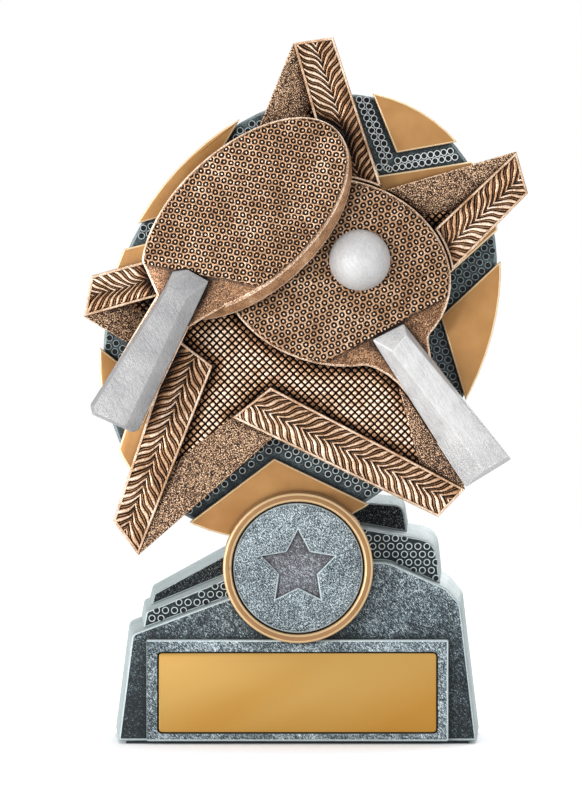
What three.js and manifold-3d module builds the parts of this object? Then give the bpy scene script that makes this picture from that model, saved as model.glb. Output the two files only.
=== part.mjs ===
// Table-tennis star trophy: a relief star with two bats and a ball on an oval plate, standing on a
// stepped base with a medallion and an engraving plaque.
//
// Millimetres, +Z up. The front faces -Y, and the origin is the middle of the felt's underside.
// Every flat outline is a list of [x, z] points, counter-clockwise as seen from the front.

import * as THREE from 'three';
import { mergeVertices } from 'three/addons/utils/BufferGeometryUtils.js';
import Module from 'manifold-3d';

const wasm = await Module();
wasm.setup();

// ---- Driving dimensions ---------------------------------------------------------------------

const CLEARANCE = 0.3; // glue line round a piece that is let into, or cut round, its neighbour

const FELT_THICKNESS = 0.6;
const FELT_INSET = 1.5;

const BASE_WIDTH = 68;
const BASE_DEPTH = 34;
const BASE_DRAFT = 0.03; // the base grows by this share from its front to its back
const MIDDLE_SETBACK = 3; // from the front of the block to the front of the middle step
const REAR_SETBACK = 13; // from the front of the block to the front of the rear step

const PLAQUE_WIDTH = 53.2;
const PLAQUE_HEIGHT = 15.6;
const PLAQUE_THICKNESS = 0.8;
const PLAQUE_CORNER = 1;
const TAPE_THICKNESS = 0.3;
const TAPE_INSET = 1;
const FRAME_SIDE_BAR = 2;
const FRAME_TOP_BAR = 2.3;
const FRAME_FOOT_BAR = 1.4;
const FRAME_HEIGHT = 1.5;

const MEDALLION_CENTRE = [0.1, 33.6];
const INSERT_RADIUS = 12.3;
const INSERT_THICKNESS = 1.2;
const INSERT_STAR_RADIUS = 7.2;
const INSERT_STAR_WAIST = 3.7;
const INSERT_STAR_DEPTH = 0.7;
const CUP_WALL = 1.6;
const CUP_LIP = 0.9; // how far the cup's lip stands in front of the insert
const CUP_HEIGHT = 5; // from the front of the base block to the cup's lip

const OVAL_CENTRE = [0.5, 81.2];
const OVAL_LONG = 44.9; // half of the long axis
const OVAL_SHORT = 35.5; // half of the short axis
const OVAL_TILT = 59.2; // degrees, the long axis above +X
const OVAL_THICKNESS = 3;
const PLATE_INSET = 0.7; // how far the plate's edge stays inside the gold relief on it
const RIM_HEIGHT = 1.6;
const FIELD_HEIGHT = 2.7;
const RIBBON_HEIGHT = 4.4;
const PANEL_DROP = 1.5; // how far a panel falls from its tip to its inner edge
const TIP_STEP = 0.2; // from the ribbon down to its panel at the tip

const BLADE_THICKNESS = 2.6;
const RUBBER_THICKNESS = 1;
const RUBBER_INSET = 0.5;
const HANDLE_HEIGHT = 3.3;
const HANDLE_SHOULDER = 1.6; // height of a handle's upright wall, below its facets
const LEFT_TILT = 9; // degrees that the left bat turns up about its handle
const BALL_RADIUS = 5.8;

// Crests of the three steps, left to right: [x, z, corner radius].
const BLOCK_CREST = [[-31.4, 20.9, 1.5], [5, 34.4, 6], [17, 34.6, 6], [28.2, 29.6, 3], [30.9, 26.6, 3]];
const MIDDLE_CREST = [[-29.2, 22], [-28.6, 24.9, 0.8], [10.5, 41, 8], [26.2, 38.2, 4], [27, 29]];
const REAR_LEFT = [[-27.6, 25.3], [-27, 27.6, 0.8]];
const REAR_TOP = [[5.5, 6.74, 8], [19.9, 5.64, 2]]; // z above the oval's lowest point: it carries the plate
const REAR_RIGHT = [20.7, 39];

// Each arm of the star, clockwise from the top. The ribbon lies between fold and outer at the tip;
// notch is where its outer edge meets the next arm, knee is where its fold reaches the field, and
// inner is a second point of its panel's inner edge.
const ARMS = [
  { name: 'top', fold: [-0.8, 132.8], outer: [6.8, 133.9], notch: [16.2, 104.8], knee: [2.6, 120.9],
    inner: [-10, 96.8] },
  { name: 'right', fold: [41.5, 112.2], outer: [43.7, 104.3], notch: [22.3, 82.5], knee: [30, 101.3],
    inner: [18.1, 98.9] },
  { name: 'lower_right', fold: [31.8, 48.2], outer: [26.7, 42.9], notch: [-4.6, 58], knee: [23.2, 52.7],
    inner: [16.7, 76.8] },
  { name: 'lower_left', fold: [-30.2, 35.6], outer: [-35, 42.2], notch: [-25.2, 71.7], knee: [-23.3, 53.2],
    inner: [-11.6, 62.4] },
  { name: 'left', fold: [-40.5, 80.9], outer: [-39.1, 88.6], notch: [-16.1, 95.1], knee: [-31.5, 83.4],
    inner: [-23.3, 77.1] },
];

// The gold relief on the oval leaves a bent channel in each notch of the star. star and rim are the
// channel's two sides, on the backing star and on the rim segment: [corner, a point of each edge].
const CHANNELS = [
  { name: 'top_right', star: [[15.5, 107.6], [33.1, 110.3], [9.2, 125]],
    rim: [[18.8, 111.9], [30.4, 114], [14.2, 123.3]] },
  { name: 'right', star: [[21.8, 82.5], [31.3, 48.2], [37.7, 96.9]],
    rim: [[27.2, 80.8], [32, 64.8], [38.6, 91.4]] },
  { name: 'bottom', star: [[-4.6, 58.6], [-30, 36.4], [26.5, 43.6]],
    rim: [[-4.4, 53.8], [-20.4, 41.8], [13.8, 45]] },
  { name: 'left', star: [[-28.1, 73.9], [-40.2, 81.4], [-33.9, 56]],
    rim: [[-32.9, 71.2], [-37.7, 75], [-36.6, 60]] },
  { name: 'upper_left', star: [[-14.3, 98.3], [-0.3, 132], [-32.8, 93.7]],
    rim: [[-20.9, 101.1], [-11.2, 117.9], [-30.3, 98.5]] },
];

const RIGHT_BAT = {
  centre: [7.1, 89.4], long: 22.2, short: 17.7, tilt: -12.8,
  // The wood from the head's lower left round the handle's end and back to its right.
  throat: [[7.7, 72.3], [11.8, 72], [14.6, 71.2], [17, 69.9], [19, 68.3], [21, 65.9], [31.7, 49.4],
    [39.8, 54.3], [25.3, 73.2], [24.8, 76.6], [25.3, 79], [26.7, 81.9], [28.3, 85.1]],
  chord: [[5.7, 72.6], [28.3, 84.8]],
  handle: [[14.2, 76.6], [31.9, 48.7], [40.5, 54], [20.1, 79.6]],
  handleTop: [[17.9, 74.5], [35.3, 51.8], [40, 54.6], [20.6, 77.6]],
};

const LEFT_BAT = {
  centre: [-9.5, 99.2], long: 23.8, short: 13.9, tilt: 42.2,
  throat: [[-29.2, 91.1], [-26.6, 85.1], [-38.8, 64.6], [-38.4, 62.8], [-29.9, 59.5], [-20.6, 79],
    [-17.2, 81.1], [-13.6, 83.1]],
  chord: [[-29.2, 91.1], [-7.3, 86.9]],
  flank: [[-31, 95], [-24.3, 80]], // the head's lower left is cut straight along this line
  faceShift: [-0.5, 1.1], // from the middle of the blade's back to the middle of its face
  faceShrink: 1.1,
  handleEnd: [-34.5, 61.8], // the middle of the handle's end: the bat turns up about this line
  handle: [[-23.6, 89.6], [-25.2, 86.4], [-39.2, 64.4], [-38.8, 62.6], [-31.2, 59.2], [-30, 59.8],
    [-16.8, 87.8], [-20.8, 90]],
  handleTop: [[-24.2, 85.9], [-24.9, 85.6], [-38.4, 64.2], [-38.2, 63], [-32.9, 60.6], [-32.3, 60.9],
    [-21.2, 84.4], [-22.6, 85.1]],
};

const BALL_CENTRE = [11.8, 91.7];

const OVAL_SIDES = 72;
const BAT_SIDES = 56;
const RING_SIDES = 64;
const CORNER_STEPS = 4;
const BALL_SIDES = 28;
const BALL_RINGS = 8;

// ---- Levels along Y, from the back of the trophy to its front ----------------------------------

const baseBack = BASE_DEPTH / 2;
const baseFront = -BASE_DEPTH / 2;
const middleFront = baseFront + MIDDLE_SETBACK;
const ovalBack = baseFront + REAR_SETBACK;
const ovalFront = ovalBack - OVAL_THICKNESS;
const starBack = ovalFront - RIM_HEIGHT;
const fieldFront = starBack - FIELD_HEIGHT;
const ribbonFront = starBack - RIBBON_HEIGHT;
const rightBladeBack = fieldFront - CLEARANCE;
const rightBladeFront = rightBladeBack - BLADE_THICKNESS;
const rightRubberFront = rightBladeFront - RUBBER_THICKNESS;

// ---- Flat geometry -----------------------------------------------------------------------------

const add = ([ax, az], [bx, bz], share = 1) => [ax + bx * share, az + bz * share];
const subtract = (a, b) => add(a, b, -1);
const length = ([x, z]) => Math.hypot(x, z);
const unit = (v) => [v[0] / length(v), v[1] / length(v)];
const dot = ([ax, az], [bx, bz]) => ax * bx + az * bz;
const cross = ([ax, az], [bx, bz]) => ax * bz - az * bx;
const radians = THREE.MathUtils.degToRad;

// The point where line a-b meets line c-d.
function meeting(a, b, c, d) {
  const along = subtract(b, a);
  const other = subtract(d, c);
  return add(a, along, cross(subtract(c, a), other) / cross(along, other));
}

// Moves every side of a closed outline outwards by a distance, and lets neighbouring sides meet again.
function grow(outline, distance) {
  return outline.map((point, i) => {
    const before = outline.at(i - 1);
    const after = outline[(i + 1) % outline.length];
    const in1 = unit(subtract(point, before));
    const in2 = unit(subtract(after, point));
    const out = [in1[1] + in2[1], -in1[0] - in2[0]];
    return add(point, out, (2 * distance) / length(out) ** 2);
  });
}

// A path whose points may carry a third number, the radius that rounds the corner there.
function rounded(points, closed = true) {
  return points.flatMap(([x, z, radius = 0], i) => {
    const isEnd = !closed && (i === 0 || i === points.length - 1);
    if (isEnd || radius === 0) return [[x, z]];
    const before = points.at(i - 1);
    const after = points[(i + 1) % points.length];
    const toBefore = unit(subtract(before, [x, z]));
    const toAfter = unit(subtract(after, [x, z]));
    const turn = Math.acos(dot(toBefore, toAfter));
    const reach = radius / Math.tan(turn / 2);
    const start = new THREE.Vector2(...add([x, z], toBefore, reach));
    const end = new THREE.Vector2(...add([x, z], toAfter, reach));
    const bend = new THREE.QuadraticBezierCurve(start, new THREE.Vector2(x, z), end);
    return bend.getPoints(CORNER_STEPS).map((p) => [p.x, p.y]);
  });
}

function ellipse([cx, cz], long, short, tilt, sides) {
  const curve = new THREE.EllipseCurve(cx, cz, long, short, 0, 2 * Math.PI, false, radians(tilt));
  return curve.getPoints(sides).slice(0, -1).map((p) => [p.x, p.y]);
}

const circle = (centre, radius) => ellipse(centre, radius, radius, 0, RING_SIDES);

function rectangle(width, height, corner, centreZ) {
  const [w, h] = [width / 2, height / 2];
  return rounded([[-w, -h], [w, -h], [w, h], [-w, h]].map(([x, z]) => [x, z + centreZ, corner]));
}

function fivePointStar([cx, cz], tipRadius, waistRadius) {
  return Array.from({ length: 10 }, (_, i) => {
    const radius = i % 2 === 0 ? tipRadius : waistRadius;
    const angle = radians(90 + i * 36);
    return [cx + radius * Math.cos(angle), cz + radius * Math.sin(angle)];
  });
}

// The stretch of a left-to-right crest between two values of x.
function stretch(crest, from, to) {
  const heightAt = (x) => {
    const i = crest.findIndex((point, k) => k > 0 && point[0] >= x);
    const [[x0, z0], [x1, z1]] = [crest[i - 1], crest[i]];
    return [x, z0 + ((z1 - z0) * (x - x0)) / (x1 - x0)];
  };
  return [heightAt(from), ...crest.filter(([x]) => x > from && x < to), heightAt(to)];
}

// ---- Solids ------------------------------------------------------------------------------------

function capFaces(outline) {
  return THREE.ShapeUtils.triangulateShape(outline.map(([x, z]) => new THREE.Vector2(x, z)), []);
}

// Joins outlines with equal numbers of points into one closed solid, from the back one to the front
// one. A level is a value of y, or a function of x and z.
function loft(...rings) {
  const count = rings[0].outline.length;
  const positions = rings.flatMap(({ outline, level }) => outline.flatMap(([x, z]) => [
    x, typeof level === 'function' ? level(x, z) : level, z]));
  const faces = [];
  for (let start = 0; start < (rings.length - 1) * count; start += count) {
    for (let i = 0; i < count; i += 1) {
      const a = start + i;
      const b = start + ((i + 1) % count);
      faces.push(a, b, b + count, a, b + count, a + count);
    }
  }
  const front = (rings.length - 1) * count;
  capFaces(rings[0].outline).forEach(([a, b, c]) => faces.push(a, c, b));
  capFaces(rings.at(-1).outline).forEach((face) => faces.push(...face.map((corner) => corner + front)));
  const geometry = new THREE.BufferGeometry();
  geometry.setAttribute('position', new THREE.Float32BufferAttribute(positions, 3));
  geometry.setIndex(faces);
  return geometry;
}

// A flat piece with upright walls.
const slab = (outline, back, front) => loft({ outline, level: back }, { outline, level: front });

function toManifold(geometry) {
  const bare = geometry.clone();
  bare.deleteAttribute('normal');
  bare.deleteAttribute('uv');
  const merged = mergeVertices(bare, 1e-4);
  return new wasm.Manifold(new wasm.Mesh({
    numProp: 3,
    vertProperties: merged.attributes.position.array,
    triVerts: Uint32Array.from(merged.index.array),
  }));
}

function fromManifold(manifold) {
  const { vertProperties, triVerts } = manifold.getMesh();
  const geometry = new THREE.BufferGeometry();
  geometry.setAttribute('position', new THREE.Float32BufferAttribute(vertProperties, 3));
  geometry.setIndex(Array.from(triVerts));
  return geometry;
}

function cut(geometry, ...tools) {
  const whole = toManifold(geometry);
  return fromManifold(tools.reduce((body, tool) => body.subtract(toManifold(tool)), whole));
}

const join = (a, b) => fromManifold(toManifold(a).add(toManifold(b)));
const common = (a, b) => fromManifold(toManifold(a).intersect(toManifold(b)));

// ---- Base --------------------------------------------------------------------------------------

// The base's outlines are drawn at its front and grow evenly towards its back, away from the floor.
function drafted(geometry) {
  const position = geometry.attributes.position;
  for (let i = 0; i < position.count; i += 1) {
    const share = 1 + (BASE_DRAFT * (position.getY(i) - baseFront)) / BASE_DEPTH;
    position.setX(i, position.getX(i) * share);
    position.setZ(i, FELT_THICKNESS + (position.getZ(i) - FELT_THICKNESS) * share);
  }
  return geometry;
}

const leftFoot = [-BASE_WIDTH / 2, FELT_THICKNESS];
const rightFoot = [BASE_WIDTH / 2, FELT_THICKNESS];
const blockCrest = rounded([leftFoot, ...BLOCK_CREST, rightFoot], false);
const middleCrest = rounded(MIDDLE_CREST, false);
const ovalTilt = radians(OVAL_TILT);
const ovalFoot = OVAL_CENTRE[1] - Math.hypot(OVAL_LONG * Math.sin(ovalTilt), OVAL_SHORT * Math.cos(ovalTilt));
const rearTop = REAR_TOP.map(([x, rise, corner]) => [x, ovalFoot + rise, corner]);
const rearCrest = rounded([...REAR_LEFT, ...rearTop, REAR_RIGHT], false);

// A step stands on the crest below it, with its feet on the crest's own line.
function stepOutline(crest, below) {
  const seat = stretch(below, crest[0][0], crest.at(-1)[0]);
  return [...seat, ...crest.slice(1, -1).reverse()];
}

const blockOutline = [...blockCrest].reverse();
const middleOutline = stepOutline(middleCrest, blockCrest);
const rearOutline = stepOutline(rearCrest, middleCrest);

// A base piece, or the cutter that leaves a clearance round it.
const basePiece = (outline, front, gap = 0) => drafted(slab(grow(outline, gap), baseBack, front - gap));

function makeFelt() {
  const half = BASE_WIDTH / 2 - FELT_INSET;
  const depth = BASE_DEPTH - 2 * FELT_INSET;
  const felt = new THREE.BoxGeometry(2 * half, depth, FELT_THICKNESS);
  return felt.translate(0, 0, FELT_THICKNESS / 2);
}

// ---- Plaque ------------------------------------------------------------------------------------

const plaqueCentreZ = FELT_THICKNESS + FRAME_FOOT_BAR + PLAQUE_HEIGHT / 2;
const opening = rectangle(PLAQUE_WIDTH, PLAQUE_HEIGHT, PLAQUE_CORNER, plaqueCentreZ);
const frameSide = PLAQUE_WIDTH / 2 + FRAME_SIDE_BAR;
const frameTop = plaqueCentreZ + PLAQUE_HEIGHT / 2 + FRAME_TOP_BAR;
const frameOutline = [
  [-frameSide, FELT_THICKNESS], [frameSide, FELT_THICKNESS], [frameSide, frameTop], [-frameSide, frameTop],
];
const frameFront = baseFront - FRAME_HEIGHT;
const frameCutter = slab(grow(frameOutline, CLEARANCE), baseFront, frameFront - CLEARANCE);

function makeFrame() {
  return cut(slab(frameOutline, baseFront, frameFront), slab(opening, baseFront + 1, frameFront - 1));
}

function makePlaque() {
  const back = baseFront - TAPE_THICKNESS;
  return slab(grow(opening, -CLEARANCE), back, back - PLAQUE_THICKNESS);
}

function makePlaqueTape() {
  const [width, height] = [PLAQUE_WIDTH - 2 * TAPE_INSET, PLAQUE_HEIGHT - 2 * TAPE_INSET];
  const outline = rectangle(width, height, PLAQUE_CORNER, plaqueCentreZ);
  return slab(outline, baseFront, baseFront - TAPE_THICKNESS);
}

// ---- Oval plate and its gold relief ---------------------------------------------------------------

const ovalOutline = ellipse(OVAL_CENTRE, OVAL_LONG, OVAL_SHORT, OVAL_TILT, OVAL_SIDES);
const ovalPlate = slab(grow(ovalOutline, -PLATE_INSET), ovalBack, ovalFront);
const reliefLayer = slab(ovalOutline, ovalFront, starBack);
const EDGE_REACH = 4; // edges run on past the oval's edge before they are trimmed to it

function wedge([corner, first, second], back, front) {
  const reach = (edge) => add(corner, subtract(edge, corner), EDGE_REACH);
  return slab([corner, reach(first), reach(second)], back, front);
}

const makeRimSegment = ({ rim }) => common(reliefLayer, wedge(rim, ovalFront, starBack));

function makeBacking() {
  return cut(reliefLayer, ...CHANNELS.map(({ star }) => wedge(star, ovalFront + 1, starBack - 1)));
}

// ---- Star ----------------------------------------------------------------------------------------

// Each ribbon runs inwards until the next arm's inner edge stops it.
const arms = ARMS.map((arm, i) => {
  const next = ARMS[(i + 1) % ARMS.length];
  return {
    ...arm,
    outerEnd: meeting(arm.outer, arm.notch, next.knee, next.inner),
    foldEnd: meeting(arm.fold, arm.knee, next.knee, next.inner),
  };
});

// A panel falls away from the height of its tip to its lower inner edge.
function panelLevel({ fold, knee, inner }) {
  const alongEdge = unit(subtract(inner, knee));
  const distance = (point) => Math.abs(cross(subtract(point, knee), alongEdge));
  const fall = PANEL_DROP / distance(fold);
  return (x, z) => ribbonFront + TIP_STEP + PANEL_DROP - fall * distance([x, z]);
}

const ribbonOutline = ({ fold, outer, outerEnd, foldEnd }) => [fold, foldEnd, outerEnd, outer];

function panelOutline(arm, before) {
  return [arm.fold, before.notch, before.outerEnd, arm.knee];
}

function makePanel(arm, i) {
  const outline = panelOutline(arm, arms.at(i - 1));
  return loft({ outline, level: starBack }, { outline, level: panelLevel(arm) });
}

const fieldOutline = arms.flatMap(({ knee, foldEnd }) => [knee, foldEnd]).reverse();

// ---- Bats and ball --------------------------------------------------------------------------------

const headOutline = ({ centre, long, short, tilt }) => ellipse(centre, long, short, tilt, BAT_SIDES);

// The head and the wood that carries the handle, as one flat blade.
function bladeSolid(bat, back, front, gap = 0) {
  const head = slab(grow(headOutline(bat), gap), back, front);
  return join(head, slab(grow([...bat.throat, bat.centre], gap), back, front));
}

// The rubber covers the head down to a straight chord across it, and leaves room for the handle.
function rubberSolid({ centre, long, short, tilt, chord, handle }, back, front) {
  const face = slab(ellipse(centre, long - RUBBER_INSET, short - RUBBER_INSET, tilt, BAT_SIDES), back, front);
  const [left, right] = chord;
  const across = unit(subtract(right, left));
  const down = [across[1], -across[0]];
  const far = 2 * long;
  const corners = [add(left, across, -far), add(right, across, far)];
  const below = [corners[0], add(corners[0], down, far), add(corners[1], down, far), corners[1]];
  return cut(face, slab(below, back + 1, front - 1), slab(grow(handle, CLEARANCE), back + 1, front - 1));
}

function handleSolid({ handle, handleTop }, back) {
  return loft(
    { outline: handle, level: back },
    { outline: handle, level: back - HANDLE_SHOULDER },
    { outline: handleTop, level: back - HANDLE_HEIGHT },
  );
}

// The left bat's lower right side is turned up about the line of its handle. Its back clears the
// right bat's rubber, and clears the ribbons where it comes nearest to them.
const leftAxis = unit(subtract(LEFT_BAT.centre, LEFT_BAT.handleEnd));
const leftRise = (point) => Math.tan(radians(LEFT_TILT)) * cross(subtract(point, LEFT_BAT.centre), leftAxis);
const lowestRise = (outline) => Math.min(...outline.map(leftRise));
const leftBladeBack = -CLEARANCE + Math.min(
  rightRubberFront + lowestRise(headOutline(RIGHT_BAT)),
  ribbonFront + lowestRise(headOutline(LEFT_BAT)),
);

function turnedUp(geometry) {
  const position = geometry.attributes.position;
  for (let i = 0; i < position.count; i += 1) {
    const rise = leftRise([position.getX(i), position.getZ(i)]);
    position.setY(i, leftBladeBack + position.getY(i) - rise);
  }
  return geometry;
}

// Its face is set over from its back, so that the edge of its wood shows on the lower right.
const leftFace = {
  ...LEFT_BAT,
  centre: add(LEFT_BAT.centre, LEFT_BAT.faceShift),
  short: LEFT_BAT.short - LEFT_BAT.faceShrink,
};

function leftBlade() {
  const [back, top] = [0, -BLADE_THICKNESS];
  const head = loft(
    { outline: headOutline(LEFT_BAT), level: back },
    { outline: headOutline(leftFace), level: top },
  );
  const [high, low] = LEFT_BAT.flank;
  const outside = slab([high, [high[0], low[1]], low], back + 1, top - 1);
  const grip = slab([...LEFT_BAT.throat, LEFT_BAT.centre], back, top);
  return turnedUp(join(cut(head, outside), grip));
}

function leftRubber() {
  const top = -BLADE_THICKNESS;
  return turnedUp(rubberSolid(leftFace, top, top - RUBBER_THICKNESS));
}

function makeBall() {
  const dome = Array.from({ length: BALL_RINGS + 1 }, (_, i) => {
    const angle = (i / BALL_RINGS) * (Math.PI / 2);
    return new THREE.Vector2(BALL_RADIUS * Math.cos(angle), BALL_RADIUS * Math.sin(angle));
  });
  dome[BALL_RINGS].x = 0;
  const ball = new THREE.LatheGeometry([new THREE.Vector2(0, 0), ...dome], BALL_SIDES);
  return ball.rotateX(Math.PI).translate(BALL_CENTRE[0], rightRubberFront, BALL_CENTRE[1]);
}

// ---- Medallion ------------------------------------------------------------------------------------

const cupFront = baseFront - CUP_HEIGHT;
const insertFront = cupFront + CUP_LIP;
const insertBack = insertFront + INSERT_THICKNESS;
const seat = insertBack + TAPE_THICKNESS;

// The cup reaches back to whatever stands behind it: the block, the steps and the oval plate.
function makeCup() {
  const pocketRadius = INSERT_RADIUS + CLEARANCE;
  const body = slab(circle(MEDALLION_CENTRE, pocketRadius + CUP_WALL), ovalBack - CLEARANCE, cupFront);
  return cut(
    body,
    slab(circle(MEDALLION_CENTRE, pocketRadius), seat, cupFront - 1),
    basePiece(blockOutline, baseFront, CLEARANCE),
    basePiece(middleOutline, middleFront, CLEARANCE),
    slab(grow(ovalOutline, CLEARANCE), ovalBack, starBack - CLEARANCE),
    frameCutter,
  );
}

function makeInsert() {
  const star = fivePointStar(MEDALLION_CENTRE, INSERT_STAR_RADIUS, INSERT_STAR_WAIST);
  return cut(
    slab(circle(MEDALLION_CENTRE, INSERT_RADIUS), insertBack, insertFront),
    slab(star, insertFront + INSERT_STAR_DEPTH, insertFront - 1),
  );
}

function makeInsertTape() {
  return slab(circle(MEDALLION_CENTRE, INSERT_RADIUS - TAPE_INSET), seat, insertBack);
}

// ---- Assembly -------------------------------------------------------------------------------------

function finish(color, metalness, roughness) {
  return new THREE.MeshStandardMaterial({ color, metalness, roughness });
}

const finishes = {
  felt: finish('#23272b', 0, 0.95),
  antiqueSilver: finish('#7c868b', 0.6, 0.5),
  gold: finish('#c99a5b', 0.7, 0.45),
  darkSteel: finish('#4d5d62', 0.6, 0.5),
  copper: finish('#9c6a48', 0.7, 0.45),
  satinSilver: finish('#c9c9c9', 0.7, 0.4),
  plaqueGold: finish('#d3a15a', 0.8, 0.3),
  tape: finish('#ece9df', 0, 0.7),
};

const trophy = new THREE.Group();

function place(name, geometry, material) {
  const mesh = new THREE.Mesh(geometry, material);
  mesh.name = name;
  trophy.add(mesh);
}

place('felt_pad', makeFelt(), finishes.felt);
place('base_block', basePiece(blockOutline, baseFront), finishes.antiqueSilver);
place('base_middle_step', basePiece(middleOutline, middleFront), finishes.antiqueSilver);
place('base_rear_step', basePiece(rearOutline, ovalBack), finishes.antiqueSilver);

place('plaque_frame', makeFrame(), finishes.antiqueSilver);
place('plaque_tape', makePlaqueTape(), finishes.tape);
place('plaque', makePlaque(), finishes.plaqueGold);

place('medallion_cup', makeCup(), finishes.gold);
place('medallion_tape', makeInsertTape(), finishes.tape);
place('medallion_insert', makeInsert(), finishes.antiqueSilver);

place('oval_plate', ovalPlate, finishes.darkSteel);
CHANNELS.forEach((channel) => place(`rim_${channel.name}`, makeRimSegment(channel), finishes.gold));
place('star_backing', makeBacking(), finishes.gold);

const rightBladeCutter = bladeSolid(RIGHT_BAT, starBack + 1, rightBladeFront, CLEARANCE);
place('star_field', slab(fieldOutline, starBack, fieldFront), finishes.copper);
arms.forEach((arm, i) => {
  const ribbon = slab(ribbonOutline(arm), starBack, ribbonFront);
  place(`panel_${arm.name}`, cut(makePanel(arm, i), rightBladeCutter), finishes.copper);
  place(`ribbon_${arm.name}`, cut(ribbon, rightBladeCutter), finishes.copper);
});

place('right_bat_blade', bladeSolid(RIGHT_BAT, rightBladeBack, rightBladeFront), finishes.copper);
place('right_bat_rubber', rubberSolid(RIGHT_BAT, rightBladeFront, rightRubberFront), finishes.copper);
place('right_bat_handle', handleSolid(RIGHT_BAT, rightBladeFront), finishes.satinSilver);
place('left_bat_blade', leftBlade(), finishes.copper);
place('left_bat_rubber', leftRubber(), finishes.copper);
place('left_bat_handle', turnedUp(handleSolid(LEFT_BAT, -BLADE_THICKNESS)), finishes.satinSilver);
place('ball', makeBall(), finishes.satinSilver);

export default trophy;
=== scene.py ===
"""Table-tennis star trophy: the painted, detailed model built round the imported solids.

Reliefs are worked out flat, in millimetres, as (along, up, height) on the face that carries them, and
are then stood on that face. Everything else is in metres, in the same frame as the solids.
"""

import math

import bmesh
import bpy
import numpy as np
from mathutils import Matrix, Vector


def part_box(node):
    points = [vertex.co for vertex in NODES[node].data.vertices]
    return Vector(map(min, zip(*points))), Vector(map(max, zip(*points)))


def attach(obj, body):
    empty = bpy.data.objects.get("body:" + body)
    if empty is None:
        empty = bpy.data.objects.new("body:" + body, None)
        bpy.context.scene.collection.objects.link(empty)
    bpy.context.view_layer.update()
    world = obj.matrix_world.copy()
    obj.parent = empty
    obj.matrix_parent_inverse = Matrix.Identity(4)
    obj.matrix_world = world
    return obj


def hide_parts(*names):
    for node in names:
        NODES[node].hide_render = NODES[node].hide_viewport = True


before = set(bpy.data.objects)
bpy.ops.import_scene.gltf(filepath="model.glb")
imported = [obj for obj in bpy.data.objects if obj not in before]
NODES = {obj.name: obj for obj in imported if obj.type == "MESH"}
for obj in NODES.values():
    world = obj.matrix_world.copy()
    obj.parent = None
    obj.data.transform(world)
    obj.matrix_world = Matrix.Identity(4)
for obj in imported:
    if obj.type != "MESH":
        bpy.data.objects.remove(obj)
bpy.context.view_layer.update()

MM = 0.001
ARMS = ("top", "right", "lower_right", "lower_left", "left")

# ---- Sizes of the cast detail, in millimetres ---------------------------------------------------

# Each bat's rubber: pitch of the pips along a row, distance between rows, angle of the rows.
PIP_ROWS = {"left": (1.31, 1.18, -9.5), "right": (1.42, 1.16, 24.0)}
PIP_DEPTH = 0.3
PIP_WANDER = 0.11
PIP_WAVE = 3.7
PIP_OVERRUN = 0.35  # how far past the rubber's edge a cell may be centred, before it is trimmed

KNURL_SIZE = 1.46
KNURL_DEPTH = 0.4
KNURL_OVERRUN = 0.4

RIBBON_DEPTH = 0.55
BORDER_WIDTH = 0.45
LEAF_PITCH = {"top": 1.45, "right": 1.55, "lower_right": 1.6, "lower_left": 1.7, "left": 1.4}
LEAF_REACH = 4.4
# Painted light on the leaves left and right of each ribbon's vein, seen towards its tip: the side turned to
# the lamps is painted brighter, the other darker.
LEAF_SIDE_LIGHT = {
    "top": (1.12, 0.8), "right": (0.84, 1.1), "lower_right": (0.95, 1.04),
    "lower_left": (0.9, 1.0), "left": (0.9, 1.12),
}
LEAF_WANDER = 0.16
LEAF_WAVE = 4.3
LEFT_LEAF_SWEEP = 5.6
RIGHT_LEAF_SWEEP = 5.0
LEAF_STEPS = 12

# How far the painted shade reaches from a neighbour, and how strongly it darkens each relief.
SHADE_REACH = 1.5
FIELD_SHADE = 0.6
LEAF_SHADE = 0.8
RUBBER_SHADE = 0.75

RING_SIDES = 12
RING_HEIGHT = 0.3
STEP_RING_RADIUS = 0.7
STEP_RING_PITCH = 1.71
STEP_RING_ROW = 1.52
STEP_RING_MARGIN = 0.3
SMALLEST_RING = 0.94  # share of the full ring radius
RING_CLEARANCE = 0.8  # share of a ring's radius kept free between its centre and the gold

# Each rim's channel: pitch along its rows, distance between rows, first row from the rim, ring radius,
# and how bright its rings are painted.
CHANNEL_ROWS = {
    "rim_top_right": (1.27, 1.27, 1.5, 0.7, 1.1),
    "rim_right": (1.66, 1.45, 1.0, 0.72, 0.66),
    "rim_bottom": (2.1, 1.2, 1.75, 0.7, 0.92),
    "rim_left": (1.62, 1.4, 1.15, 0.72, 0.7),
    "rim_upper_left": (1.5, 1.3, 1.15, 0.72, 0.85),
}


# ---- Paint ----------------------------------------------------------------------------------------

def colour(red, green, blue):
    """A colour given as it looks on a screen, 0 to 255, turned linear for the shader."""
    shares = (red / 255, green / 255, blue / 255)
    linear = [s / 12.92 if s <= 0.04045 else ((s + 0.055) / 1.055) ** 2.4 for s in shares]
    return (*linear, 1.0)


class Wire:
    """One output of a shader node, with plain arithmetic."""

    def __init__(self, paint, socket):
        self.paint = paint
        self.socket = socket

    def maths(self, operation, first, second):
        return self.paint.node("ShaderNodeMath", {"operation": operation}, {0: first, 1: second})

    def __add__(self, other):
        return self.maths("ADD", self, other)

    def __radd__(self, other):
        return self.maths("ADD", other, self)

    def __sub__(self, other):
        return self.maths("SUBTRACT", self, other)

    def __rsub__(self, other):
        return self.maths("SUBTRACT", other, self)

    def __mul__(self, other):
        return self.maths("MULTIPLY", self, other)

    def __rmul__(self, other):
        return self.maths("MULTIPLY", other, self)

    def held(self):
        """The same value, held between 0 and 1."""
        return self.paint.node("ShaderNodeClamp", {}, {0: self})

    def between(self, low, high):
        """0 at low, 1 at high, and smooth in between."""
        settings = {"interpolation_type": "SMOOTHSTEP"}
        return self.paint.node("ShaderNodeMapRange", settings, {0: self, 1: low, 2: high, 3: 0.0, 4: 1.0})


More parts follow.
